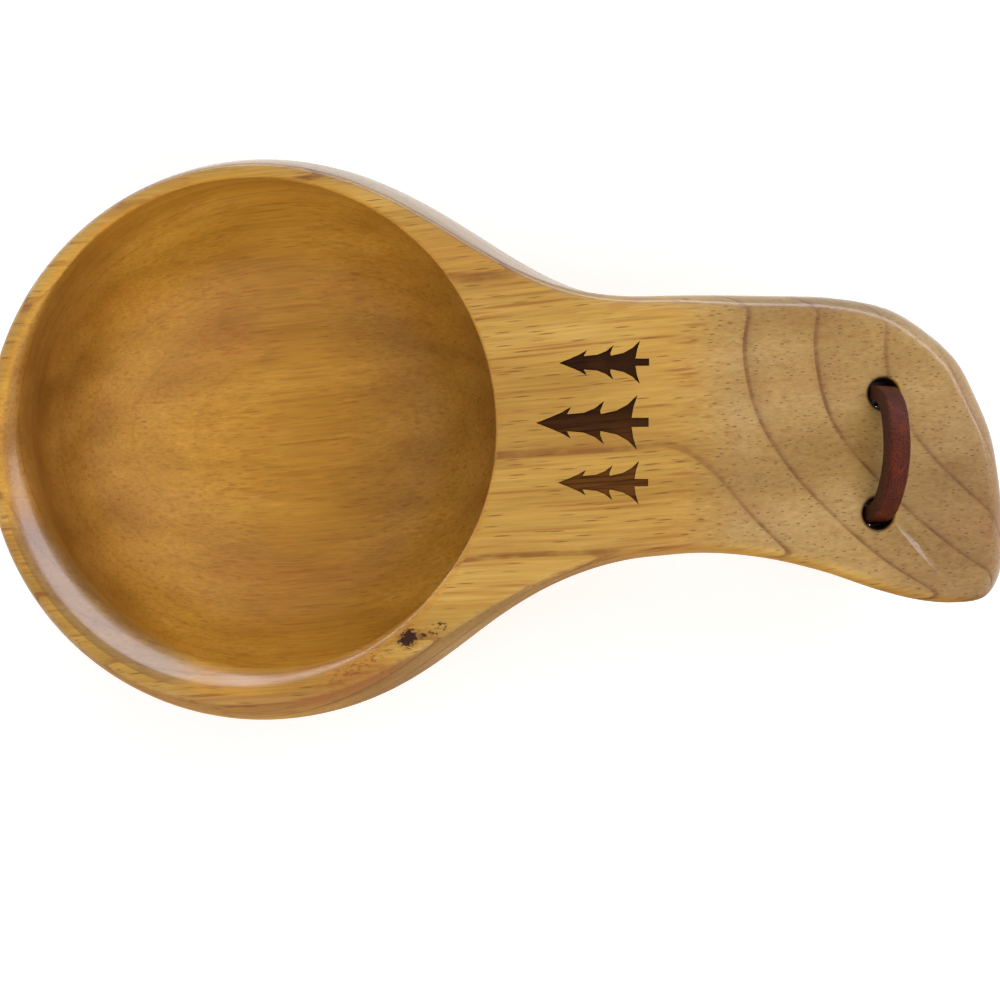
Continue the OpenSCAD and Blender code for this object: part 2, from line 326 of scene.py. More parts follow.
def surface_net(values, axes):
    """Points and quads along the zero level of a field that is sampled on three axes."""
    shape = tuple(n - 1 for n in values.shape)
    count = np.zeros(shape, np.float32)
    total = np.zeros(shape + (3,), np.float32)
    inside = values < 0
    crossings = []
    for axis in range(3):
        lead = [slice(None)] * 3
        tail = [slice(None)] * 3
        lead[axis], tail[axis] = slice(0, -1), slice(1, None)
        lead, tail = tuple(lead), tuple(tail)
        hit = inside[lead] != inside[tail]
        at = np.argwhere(hit)
        before, after = values[lead][hit], values[tail][hit]
        spot = np.stack([axes[k][at[:, k]] for k in range(3)], 1)
        spot[:, axis] += before / (before - after) * (axes[axis][at[:, axis] + 1] - axes[axis][at[:, axis]])
        crossings.append((axis, at, inside[lead][hit]))
        b, c = [k for k in range(3) if k != axis]
        for db in (0, 1):
            for dc in (0, 1):
                cell = at.copy()
                cell[:, b] -= db
                cell[:, c] -= dc
                np.add.at(count, tuple(cell.T), 1)
                np.add.at(total, tuple(cell.T), spot)
    used = count > 0
    number = np.full(shape, -1)
    number[used] = np.arange(used.sum())
    points = total[used] / count[used][:, None]
    quads = []
    for axis, at, starts_inside in crossings:
        b, c = (axis + 1) % 3, (axis + 2) % 3
        corners = []
        for db, dc in ((1, 1), (0, 1), (0, 0), (1, 0)):
            cell = at.copy()
            cell[:, b] -= db
            cell[:, c] -= dc
            corners.append(number[tuple(cell.T)])
        quad = np.stack(corners, 1)
        quad[~starts_inside] = quad[~starts_inside][:, ::-1]
        quads.append(quad)
    return points.astype(float), np.concatenate(quads)


def settle(points, field):
    """Moves points along the field's gradient onto its zero level."""
    step = 0.05
    shift = np.eye(3) * step
    slope = np.stack([field(*(points + s).T) - field(*(points - s).T) for s in shift], 1) / (2 * step)
    size = np.maximum((slope**2).sum(1), 0.25)
    for _ in range(3):
        move = field(*points.T) / size
        points = points - np.clip(move, -GRID_XY, GRID_XY)[:, None] * slope
    return points


class Skin:
    """A growing mesh: points, faces and the material of each face."""

    def __init__(self, points, quads):
        self.points = [tuple(p) for p in points]
        self.faces = [tuple(q) for q in quads.tolist()]
        self.burned = set()
        self.sharp = set()

    def add(self, points):
        """Adds points and returns their numbers."""
        first = len(self.points)
        self.points.extend(tuple(map(float, p)) for p in points)
        return list(range(first, len(self.points)))

    def strip(self, a, b):
        """Quads between two closed rings of as many points. Seen with a outside b, they face the viewer
        when the rings run anticlockwise."""
        count = len(a)
        self.faces.extend((a[k], a[(k + 1) % count], b[(k + 1) % count], b[k]) for k in range(count))

    def open(self, doomed):
        """Takes out the faces whose points are all marked, and returns the edges left around the gap."""
        gone = [f for f in self.faces if all(doomed[k] for k in f)]
        self.faces = [f for f in self.faces if not all(doomed[k] for k in f)]
        edges = {(a, b) for f in gone for a, b in zip(f, f[1:] + f[:1])}
        return [(a, b) for a, b in edges if (b, a) not in edges]

    def fill(self, edges, flat, flip=False):
        """Triangles in the area that the edges go around an odd number of times. flat gives the place of each
        of some points in a plane."""
        used = sorted({k for e in edges for k in e})
        order = {k: n for n, k in enumerate(used)}
        places = flat(np.array([self.points[k] for k in used]))
        spans = np.array([(order[a], order[b]) for a, b in edges])
        made = delaunay_2d_cdt([Vector(p) for p in places], spans.tolist(), [], 0, 1e-7, True)
        out, faces, origin = np.array(made[0]), made[2], made[3]
        middles = np.array([out[list(f)].mean(0) for f in faces])
        inside = enclosed(middles, places[spans[:, 0]], places[spans[:, 1]])
        for face, keep in zip(faces, inside):
            if keep:
                ids = tuple(used[origin[k][0]] for k in face)
                self.faces.append(ids[::-1] if flip else ids)


def enclosed(spots, starts, ends):
    """Whether each spot in the plane is inside the lines from starts to ends, counted odd and even."""
    x, y = spots[:, :1], spots[:, 1:]
    (ax, ay), (bx, by) = starts.T, ends.T
    rise = np.where(ay == by, 1, by - ay)
    hit = ((ay > y) != (by > y)) & (x < (bx - ax) * (y - ay) / rise + ax)
    return hit.sum(1) % 2 == 1


def ring_edges(ring):
    """The edges of a closed ring of point numbers."""
    return list(zip(ring, ring[1:] + ring[:1]))


def seen_from_above(points):
    """Each point's place in plan."""
    return points[:, :2]


BOWL_SIDES = 240
BOWL_CUT_R = RIM_R + LIP_IN_R + CUT_MARGIN


def hollow_profile():
    """Radius and height of the hollow from the flat lip down to the floor, without its middle point."""
    rows = []
    for a in np.radians(np.linspace(0, 90, 6)):
        rows.append((RIM_R + LIP_IN_R * (1 - math.sin(a)), CUP_H - LIP_IN_R * (1 - math.cos(a))))
    lip_z = CUP_H - LIP_IN_R
    for t in np.linspace(0, 1, 19)[1:]:
        rows.append((RIM_R + (CAVITY_R - RIM_R) * (1 - (1 - t) ** 2), lip_z + (CAVITY_Z - lip_z) * t))
    for a in np.radians(np.linspace(0, 90, 44))[1:-1]:
        rows.append((CAVITY_R * math.cos(a), CAVITY_Z - (CAVITY_Z - FLOOR_T) * math.sin(a)))
    return rows


def lip_flare(turns, z):
    """How far the wall leans into the hollow below the lip, on the side away from the handle."""
    width = FLARE_W * np.cos(np.clip(0.75 * (turns - FLARE_TURN), -math.pi / 2, math.pi / 2)) ** 2
    depth = CUP_H - z
    tilt = FLARE_TILT + FLARE_TILT_GAIN * (turns - FLARE_TURN)
    steep = tilt * depth / np.maximum(width, 0.01)
    return width * steep / (1 + steep**8) ** 0.125 * (1 - smooth_step(depth, *FLARE_FADE))


def cut_hollow(skin):
    """The bowl's hollow: rings from the lip down to the floor."""
    p = np.array(skin.points)
    edges = skin.open((np.hypot(p[:, 0], p[:, 1]) < BOWL_CUT_R) & (p[:, 2] > CUP_H - 2))
    turns = np.arange(BOWL_SIDES) * 2 * math.pi / BOWL_SIDES
    rings = []
    for radius, z in hollow_profile():
        r = radius - lip_flare(turns, z)
        rings.append(skin.add(np.stack([r * np.cos(turns), r * np.sin(turns), np.full(BOWL_SIDES, z)], 1)))
    skin.fill(edges + ring_edges(rings[0]), seen_from_above)
    for outer, inner in zip(rings, rings[1:]):
        skin.strip(outer, inner)
    middle = skin.add([(0, 0, FLOOR_T)])[0]
    skin.faces.extend((a, b, middle) for a, b in ring_edges(rings[-1]))


HOLE_SIDES = 56
HOLE_AXIS = np.array([math.sin(GRIP_DROP), 0, math.cos(GRIP_DROP)])
HOLE_ACROSS = np.array([math.cos(GRIP_DROP), 0, -math.sin(GRIP_DROP)])
HOLE_ASIDE = np.array([0.0, 1.0, 0.0])
HOLE_HALF = 5.0
HOLE_CUT_R = HOLE_R + HOLE_EDGE_R + CUT_MARGIN


def hole_middle(side):
    """A point on a hole's axis, inside the handle."""
    x = HOLE_X + side * HOLE_SKEW
    mouth = np.array([x, HOLE_MID_Y + side * HOLE_GAP / 2, float(top_height(np.array(x)))])
    return mouth - HOLE_AXIS * HOLE_HALF


def mouth_points(middle, radius, end, depth, field):
    """Ring around a hole's axis, at a depth under the surface at that end of the hole."""
    turns = np.arange(HOLE_SIDES) * 2 * math.pi / HOLE_SIDES
    start = middle + radius * (np.cos(turns)[:, None] * HOLE_ACROSS + np.sin(turns)[:, None] * HOLE_ASIDE)
    near, far = np.zeros(HOLE_SIDES), np.full(HOLE_SIDES, 3 * HOLE_HALF)
    for _ in range(24):
        half = (near + far) / 2
        solid = field(*(start + end * half[:, None] * HOLE_AXIS).T) < 0
        near, far = np.where(solid, half, near), np.where(solid, far, half)
    return start + end * (near - depth)[:, None] * HOLE_AXIS


def cut_hole(skin, side, field):
    """A lace hole with rounded mouths."""
    middle = hole_middle(side)

    def seen_along_hole(points):
        away = points - middle
        return np.stack([away @ HOLE_ACROSS, away @ HOLE_ASIDE], 1)

    walls = []
    for end in (1, -1):
        points = np.array(skin.points)
        gap = np.hypot(*seen_along_hole(points).T)
        on_side = end * ((points - middle) @ HOLE_AXIS) > 1
        edges = skin.open((gap < HOLE_CUT_R) & on_side)
        rings = []
        for a in np.radians(np.linspace(0, 90, 6)):
            radius = HOLE_R + HOLE_EDGE_R * (1 - math.sin(a))
            rings.append(skin.add(mouth_points(middle, radius, end, HOLE_EDGE_R * (1 - math.cos(a)), field)))
        skin.fill(edges + ring_edges(rings[0]), seen_along_hole, flip=end < 0)
        walls.append(rings if end > 0 else rings[::-1])
    chain = walls[0]
    top = np.array([skin.points[k] for k in walls[0][-1]])
    low = np.array([skin.points[k] for k in walls[1][0]])
    for t in np.linspace(0, 1, 12)[1:-1]:
        chain.append(skin.add(top * (1 - t) + low * t))
    for upper, lower in zip(chain + walls[1], (chain + walls[1])[1:]):
        skin.strip(upper, lower)


def spruce(height):
    """Outline of a spruce from its foot, as (along, across) points: a trunk and tiers of drooping boughs."""
    trunk_w, trunk_h = TRUNK_W_SHARE * height, TRUNK_H_SHARE * height
    tier_h = (height - trunk_h) / TREE_TIERS
    side = [(0, trunk_w / 2), (trunk_h + 0.03 * height, trunk_w / 2)]
    for i in range(TREE_TIERS):
        is_top = i == TREE_TIERS - 1
        base = trunk_h + i * tier_h
        half = (BRANCH_SHARE - BRANCH_TAPER * i) * height
        neck = 0.0 if is_top else NECK_SHARE * height
        side.append((base + 0.015 * height, half * 0.55))
        side.append((base - 0.02 * height, half))
        side.append((base + 0.22 * tier_h, half * 0.66))
        side.append((base + 0.55 * tier_h, half * 0.36 + neck * 0.25))
        side.append((base + tier_h + (0.0 if is_top else 0.01 * height), neck))
    return side + [(along, -across) for along, across in reversed(side[:-1])]


def burn_mark(skin):
    """Sinks the three trees into the flat top."""
    p = np.array(skin.points)
    near_x = np.abs(p[:, 0] - MARK_MID_X) < MARK_HALF_X
    near_y = np.abs(p[:, 1] - MARK_MID_Y) < MARK_HALF_Y
    edges = skin.open(near_x & near_y & (p[:, 2] > CUP_H - 1))
    brinks, floors = [], []
    for side in (-1, 0, 1):
        height = TREE_H if side == 0 else TREE_H * SIDE_TREE_SHARE
        mid_y = MARK_MID_Y + side * TREE_PITCH
        line = [(MARK_FOOT_X - along, mid_y + across) for along, across in spruce(height)]
        brink = skin.add([(x, y, CUP_H) for x, y in line])
        sunk = skin.add([(x, y, CUP_H - MARK_DEPTH) for x, y in line])
        brinks.append(brink)
        floors.append(sunk)
    skin.fill(edges + [e for b in brinks for e in ring_edges(b)], seen_from_above)
    first = len(skin.faces)
    for brink, sunk in zip(brinks, floors):
        skin.fill(ring_edges(sunk), seen_from_above)
        count = len(brink)
        for k in range(count):
            n = (k + 1) % count
            skin.faces.append((brink[k], brink[n], sunk[n], sunk[k]))
        skin.sharp.update(frozenset(e) for e in ring_edges(brink) + ring_edges(sunk))
    skin.burned.update(range(first, len(skin.faces)))


def make_object(name, points, faces, materials):
    """A smooth mesh object from points in millimetres."""
    mesh = bpy.data.meshes.new(name)
    mesh.from_pydata([tuple(c * MM for c in p) for p in points], [], faces)
    for material in materials:
        mesh.materials.append(material)
    mesh.shade_smooth()
    made = bpy.data.objects.new(name, mesh)
    bpy.context.scene.collection.objects.link(made)
    return made


def make_cup(wood, burnt):
    """The cup's whole mesh."""
    xs = np.arange(-GRID_SIDE, HANDLE_LEN + 2, GRID_XY)
    ys = np.arange(-GRID_SIDE, GRID_SIDE + 0.2, GRID_XY)
    low_zs = np.arange(GRID_FOOT_Z, GRID_TOP_Z - 0.2, GRID_Z)
    zs = np.concatenate([low_zs, np.arange(GRID_TOP_Z, CUP_H + 1, GRID_Z_TOP)])
    plan = PlanMap(xs, ys)
    x, y = np.meshgrid(xs, ys, indexing="ij")
    values = np.stack([body_field(x, y, z, plan.values) for z in zs], 2)

    def field(x, y, z):
        return body_field(x, y, z, plan.at(x, y))

    points, quads = surface_net(values, (xs, ys, zs))
    skin = Skin(settle(points, field), quads)
    cut_hollow(skin)
    for side in (-1, 1):
        cut_hole(skin, side, field)
    burn_mark(skin)
    cup = make_object("cup_carved", skin.points, skin.faces, [wood, burnt])
    for k in skin.burned:
        cup.data.polygons[k].material_index = 1
    for edge in cup.data.edges:
        if frozenset(edge.vertices) in skin.sharp:
            edge.use_edge_sharp = True
    used = {k for f in skin.faces for k in f}
    drop_points(cup.data, [k for k in range(len(skin.points)) if k not in used])
    return cup


def drop_points(mesh, numbers):
    """Takes points that no face uses out of a mesh."""
    work = bmesh.new()
    work.from_mesh(mesh)
    work.verts.ensure_lookup_table()
    bmesh.ops.delete(work, geom=[work.verts[k] for k in numbers], context="VERTS")
    work.to_mesh(mesh)
    work.free()


# ---------------------------------------------------------------- lace and knot

def strap_section(width, thick, corner):
    """Rounded rectangle, as (across, out) points that run anticlockwise, and which sides are cut edges."""
    points, cut = [], []
    for turn, (sx, sy) in enumerate(((1, 1), (-1, 1), (-1, -1), (1, -1))):
        for a in np.radians(np.linspace(0, 90, 4) + 90 * turn):
            across = sx * (width / 2 - corner) + corner * math.cos(a)
            out = sy * (thick / 2 - corner) + corner * math.sin(a)
            points.append((across, out))
    count = len(points)
    for k in range(count):
        (ax, ay), (bx, by) = points[k], points[(k + 1) % count]
        cut.append(abs(bx - ax) < abs(by - ay))
    return points, cut


def sweep(name, centres, wides, outs, section, cut, materials):
    """Strap swept along its middle line. The faces of its cut edges take the second material."""
    count = len(section)
    points = [c + a * w + b * o for c, w, o in zip(centres, wides, outs) for a, b in section]
    faces, edge_faces = [], []
    for k in range(len(centres) - 1):
        for j in range(count):
            n = (j + 1) % count
            faces.append((k * count + j, (k + 1) * count + j, (k + 1) * count + n, k * count + n))
            edge_faces.append(cut[j])
    faces.append(tuple(range(count)))
    faces.append(tuple((len(centres) - 1) * count + j for j in reversed(range(count))))
    edge_faces += [True, True]
    strap = make_object(name, points, faces, materials)
    for polygon, is_cut in zip(strap.data.polygons, edge_faces):
        polygon.material_index = int(is_cut)
    return strap


def directions(centres):
    """The way ahead at each point of a line, at length one."""
    ahead = np.gradient(centres, axis=0)
    return ahead / np.linalg.norm(ahead, axis=1)[:, None]


def square_to(vector, direction):
    """The part of each vector that is square to its direction, at length one."""
    flat = vector - (vector * direction).sum(1)[:, None] * direction
    return flat / np.linalg.norm(flat, axis=1)[:, None]


def make_lace(materials):
    """The lace: a strap that lies flat at its free ends and leans over at the top of its arch."""
    centres = curve_through(np.array(LACE_ROUTE) / MM, ROUTE_STEPS)
    ahead = directions(centres)
    z = centres[:, 2]
    tilt = GRIP_DROP * smooth_step(z, *LACE_LEAN_Z)
    lean = np.stack([np.cos(tilt), 0 * tilt, -np.sin(tilt)], 1)
    wides = square_to(lean, ahead)
    outs = np.cross(ahead, wides)
    twist = (LACE_TWIST * smooth_step(z, *LACE_TWIST_Z))[:, None]
    cos, sin = np.cos(twist), np.sin(twist)
    wides, outs = cos * wides - sin * outs, sin * wides + cos * outs
    section, cut = strap_section(LACE_W, LACE_T, LACE_CORNER_R)
    lace = sweep("lace_strap", centres, wides, outs, section, cut, materials)
    return lace, [tuple(float(v) * MM for v in c) for c in centres]


KNOT_TURNS = 2.3
KNOT_WRAP_R = 5.0
KNOT_STRAP_W = 3.1
KNOT_STRAP_T = 1.8
KNOT_CORNER_R = 0.4
KNOT_STEPS = 110
KNOT_START_TURN = 0.6
KNOT_TUCK = 2.6
KNOT_TUCK_SHARE = 0.1


def make_knot(materials):
    """The knot: a strap wound round both strands of the lace, with its ends tucked in."""
    low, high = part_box("lace_knot")
    middle = (np.array(low) + np.array(high)) / 2 / MM
    rise = (high.z - low.z) / MM - KNOT_STRAP_W
    t = np.linspace(0, 1, KNOT_STEPS)
    turn = 2 * math.pi * KNOT_TURNS * t + KNOT_START_TURN
    tuck = 1 - smooth_step(np.minimum(t, 1 - t), 0, KNOT_TUCK_SHARE)
    radius = KNOT_WRAP_R - KNOT_TUCK * tuck
    height = (smooth_step(t, -0.15, 1.15) - 0.5) * rise * 1.05
    centres = middle + np.stack([radius * np.cos(turn), radius * np.sin(turn), height], 1)
    ahead = directions(centres)
    outs = square_to(np.stack([np.cos(turn), np.sin(turn), 0 * turn], 1), ahead)
    wides = np.cross(outs, ahead)
    section, cut = strap_section(KNOT_STRAP_W, KNOT_STRAP_T, KNOT_CORNER_R)
    return sweep("knot_wrap", centres, wides, outs, section, cut, materials)


# ---------------------------------------------------------------- materials

class Shader:
    """Short calls that build the nodes of one material. Sizes are in millimetres."""

    def __init__(self, name):
        self.material = bpy.data.materials.new(name)
        self.material.use_nodes = True
        tree = self.material.node_tree
        self.nodes, self.links = tree.nodes, tree.links
        self.nodes.clear()
        self.coords = self.node("ShaderNodeTexCoord")
        self.place = self.coords.outputs["Object"]

    def node(self, kind, inputs=None, **settings):
        made = self.nodes.new(kind)
        for key, value in settings.items():
            setattr(made, key, value)
        for key, value in (inputs or {}).items():
            if isinstance(value, bpy.types.NodeSocket):
                self.links.new(value, made.inputs[key])
            else:
                made.inputs[key].default_value = value
        return made

    def math(self, operation, a, b=0.0, clamp=False):
        return self.node("ShaderNodeMath", {0: a, 1: b}, operation=operation, use_clamp=clamp).outputs[0]

    def vector(self, operation, a, b=(0, 0, 0), out=0):
        return self.node("ShaderNodeVectorMath", {0: a, 1: b}, operation=operation).outputs[out]

    def step(self, value, low, high, start=0.0, end=1.0):
        """S curve from start at low to end at high."""
        inputs = {"Value": value, "From Min": low, "From Max": high, "To Min": start, "To Max": end}
        return self.node("ShaderNodeMapRange", inputs, interpolation_type="SMOOTHSTEP").outputs[0]

    def mix(self, share, a, b, blend="MIX"):
        """Colour a, with share of colour b over it."""
        inputs = {0: share, 6: a, 7: b}
        return self.node("ShaderNodeMix", inputs, data_type="RGBA", blend_type=blend).outputs[2]

    def noise(self, place, size, detail=2.0, rough=0.5, out=0):
        """Noise whose features are about size millimetres along each axis."""
        spot = self.vector("MULTIPLY", place, tuple(1 / s for s in size))
        inputs = {"Vector": spot, "Scale": 1.0, "Detail": detail, "Roughness": rough}
        return self.node("ShaderNodeTexNoise", inputs).outputs[out]

    def cells(self, place, size, out="Distance"):
        """Distance to the nearest cell's middle, for cells of about size millimetres along each axis."""
        spot = self.vector("MULTIPLY", place, tuple(1 / s for s in size))
        return self.node("ShaderNodeTexVoronoi", {"Vector": spot, "Scale": 1.0}).outputs[out]

    def ramp(self, value, stops):
        made = self.node("ShaderNodeValToRGB", {0: value})
        bar = made.color_ramp.elements
        while len(bar) < len(stops):
            bar.new(1.0)
        for element, (position, colour) in zip(bar, stops):
            element.position = position
            element.color = colour
        return made.outputs[0]

    def spot(self, centre, radii, turn=0.0):
        """Distance from a point, where 1 is the edge of an oval of those radii. In millimetres."""
        made = self.node("ShaderNodeMapping", {"Vector": self.place}, vector_type="TEXTURE")
        made.inputs["Location"].default_value = [c * MM for c in centre]
        made.inputs["Rotation"].default_value = (0, 0, turn)
        made.inputs["Scale"].default_value = [r * MM for r in radii]
        return self.vector("LENGTH", made.outputs[0], out=1)

    def bump(self, height, depth, strength=1.0, **under):
        """Bump of a height from 0 to 1 that stands for depth millimetres, over an earlier Normal."""
        inputs = {"Height": height, "Distance": depth * MM, "Strength": strength, **under}
        return self.node("ShaderNodeBump", inputs).outputs[0]

    def finish(self, **inputs):
        surface = self.node("ShaderNodeBsdfPrincipled", {k.replace("_", " "): v for k, v in inputs.items()})
        self.node("ShaderNodeOutputMaterial", {0: surface.outputs[0]})
        return self.material


def grey(value):
    """A grey of that linear strength."""
    return (value, value, value, 1.0)


def grain_place(sh):
    """Millimetres along the grain and around the pith, with a slow wander."""
    made = sh.node("ShaderNodeMapping", {"Vector": sh.place})
    made.inputs["Scale"].default_value = (1 / MM,) * 3
    made.inputs["Rotation"].default_value = (0, 0, -GRAIN_TURN)
    made.inputs["Location"].default_value = (0, -PITH_Y, -PITH_Z)
    wander = sh.noise(made.outputs[0], (45, 28, 28), detail=1, out=1)
    wander = sh.vector("SUBTRACT", wander, (0.5, 0.5, 0.5))
    wander = sh.vector("MULTIPLY", wander, (0, 1.6, 1.6))
    return sh.vector("ADD", made.outputs[0], wander)


def growth_ring(sh, grain):
    """Share of the way through a growth ring, from 0 at its pale start to 1 at its dark end, and its radius.
    Rings are a step apart, and a slow wave along the radius makes some years wide and others narrow."""
    radius = sh.vector("LENGTH", sh.vector("MULTIPLY", grain, (0, 1, 1)), out=1)
    sway = sh.math("MULTIPLY", sh.math("SINE", sh.math("DIVIDE", radius, RING_SWAY_LEN)), RING_SWAY)
    return sh.math("FRACT", sh.math("ADD", sh.math("DIVIDE", radius, RING_STEP), sway)), radius


def ring_shade(sh, grain):
    """Darkness of the growth rings: a slow rise and then a dark line of uneven strength."""
    ring, radius = growth_ring(sh, grain)
    shade = sh.ramp(ring, [
        (0.0, grey(0.15)), (0.06, grey(0)), (0.6, grey(0.02)), (0.86, grey(0.22)), (0.92, grey(0.45)),
        (0.95, grey(1)), (0.985, grey(1)), (1.0, grey(0.15)),
    ])
    uneven = sh.noise(grain, (9, 5, 5), detail=3, rough=0.65)
    shade = sh.math("MULTIPLY", shade, sh.step(uneven, 0.3, 0.65, 0.45, 1.0))
    return sh.math("MULTIPLY", shade, sh.step(radius, 72, 88, 0.3, 0.9))


def vessels(sh, grain, size, width):
    """Dark dashes along the grain, 1 in a dash and 0 beside it, of uneven strength."""
    gap = sh.cells(grain, size)
    chance = sh.cells(grain, size, out="Color")
    return sh.math("MULTIPLY", sh.step(gap, width * 0.35, width, 1, 0), sh.step(chance, 0.25, 0.7))


def facing(sh, direction, low, high):
    """S curve from 0 to 1 as the surface turns toward a direction."""
    turn = sh.vector("DOT_PRODUCT", sh.coords.outputs["Normal"], direction, out=1)
    return sh.step(turn, low, high)


def inside_bowl(sh):
    """1 in the bowl's hollow and 0 elsewhere. The hollow is in the bowl's oval, or its wall faces the axis.

    The foot is in the oval too, and the underside of the handle's slope faces the axis, so whatever points
    down is taken out.
    """
    deep = sh.step(sh.spot(*BOWL_SPOT), 0.97, 1.0, 1, 0)
    to_axis = sh.vector("NORMALIZE", sh.vector("MULTIPLY", sh.place, (-1, -1, 0)))
    turn = sh.vector("DOT_PRODUCT", sh.coords.outputs["Normal"], to_axis, out=1)
    hollow = sh.math("MAXIMUM", deep, sh.step(turn, 0.05, 0.2))
    return sh.math("MULTIPLY", hollow, facing(sh, (0, 0, 1), -0.9, -0.4))


def tint(sh, share, tone, factors):
    """The tone, multiplied by three factors where share is 1."""
    return sh.mix(share, tone, sh.vector("MULTIPLY", tone, factors))


class WoodPlaces:
    """Shares from 0 to 1 of the cup's places and sides, which set the wood's tints, its painted light and
    shade, and its gloss.
    """

    def __init__(self, sh):
        self.bowl = inside_bowl(sh)
        outside = sh.math("SUBTRACT", 1, self.bowl)
        self.slope = sh.math("MULTIPLY", facing(sh, ALONG_GRAIN, 0.02, 0.4), outside)
        # north: sides that face +Y. Their tint is a painted grey reflection, and they also get more coat.
        self.north = sh.math("MULTIPLY", facing(sh, (0, 1, 0), 0.1, 0.8), outside)
        # shady: sides that face -Y. Their tint is painted shade, and they also get less coat and a rougher
        # surface.
        self.shady = sh.math("MULTIPLY", facing(sh, (0, -1, 0), 0.35, 0.9), outside)
        self.tip = sh.math("MULTIPLY", sh.step(sh.spot(*TIP_SPOT), 0.3, 1.1, 1, 0), outside)
        # Painted shade on the -Y rim, outside the bowl.
        self.south_rim_shade = sh.math("MULTIPLY", sh.step(sh.spot(*SOUTH_RIM_SHADE_SPOT), 0.8, 1.05, 1, 0), outside)
        # lip: the flared wall under the lip. It is painted with a lavender reflection and gets more coat.
        self.lip = sh.math("MULTIPLY", sh.step(sh.spot(*LIP_SPOT), 0.8, 1.1, 1, 0), self.bowl)
        along = sh.vector("DOT_PRODUCT", sh.coords.outputs["Normal"], ALONG_GRAIN, out=1)
        end_wall = sh.step(sh.math("ABSOLUTE", along), 0.4, 0.95)
        self.end_wall = sh.math("MULTIPLY", end_wall, self.bowl)
        # solid is 0 in the lace holes, whose walls are painted near black as shade and get no coat.
        holes = [sh.step(bore_gap(sh, side), HOLE_R + 0.1, HOLE_R + 0.8) for side in (-1, 1)]
        self.solid = sh.math("MINIMUM", *holes)


def grain_tone(sh, grain, places, fibre, short_dash):
    """The wood's own colour: mottle, growth rings, fibres, bands and vessels."""
    mottle = sh.noise(grain, (50, 9, 9), detail=2)
    stops = [(0.30, srgb(168, 126, 53)), (0.52, srgb(188, 146, 68)), (0.75, srgb(201, 160, 84))]
    tone = sh.ramp(mottle, stops)
    rosy = sh.noise(grain, (30, 13, 13), detail=1)
    tone = sh.mix(sh.step(rosy, 0.5, 0.75, 0, 0.35), tone, srgb(180, 123, 52))
    ring_strength = sh.math("SUBTRACT", 1, sh.math("MULTIPLY", places.bowl, 0.45))
    tone = sh.mix(sh.math("MULTIPLY", ring_shade(sh, grain), ring_strength), tone, srgb(128, 80, 32))
    tone = sh.mix(0.55, tone, sh.ramp(fibre, [(0.3, grey(0.35)), (0.7, grey(0.65))]), blend="OVERLAY")
    bands = sh.noise(grain, (34, 0.8, 0.8), detail=3, rough=0.6)
    tone = sh.mix(sh.step(bands, 0.54, 0.70, 0, 0.45), tone, srgb(160, 100, 36))
    dash_strength = sh.math("SUBTRACT", 0.72, sh.math("MULTIPLY", places.bowl, 0.4))
    long_dash = vessels(sh, grain, (30, 0.9, 0.9), 0.44)
    flat_share = sh.math("SUBTRACT", 1, sh.math("MULTIPLY", places.slope, 0.85))
    long_strength = sh.math("MULTIPLY", dash_strength, flat_share)
    tone = sh.mix(sh.math("MULTIPLY", long_dash, long_strength), tone, srgb(146, 86, 30))
    return sh.mix(sh.math("MULTIPLY", short_dash, dash_strength), tone, srgb(112, 70, 28))


def place_tints(sh, grain, places, tone):
    """The tone, tinted by the side of the cup and the place on it. The north, shady and south rim tints paint
    reflection and shade by side, the bowl tint paints warm bounce light and the lip tint paints a reflection
    band.
    """
    for share, factors in (
        (places.slope, SLOPE_TINT), (places.tip, TIP_TINT), (places.south_rim_shade, SOUTH_RIM_PAINTED_SHADE_TINT),
        (places.north, NORTH_PAINTED_REFLECTION_TINT), (places.bowl, BOWL_PAINTED_BOUNCE_TINT), (places.lip, LIP_PAINTED_REFLECTION_TINT),
        (places.end_wall, END_WALL_TINT),
    ):
        tone = tint(sh, share, tone, factors)
    blotch = sh.step(sh.noise(grain, (17, 8, 8), detail=3, rough=0.6), 0.42, 0.66)
    tone = tint(sh, sh.math("MULTIPLY", blotch, places.bowl), tone, BLOTCH_TINT)
    return tint(sh, places.shady, tone, SHADY_PAINTED_SHADE_TINT)


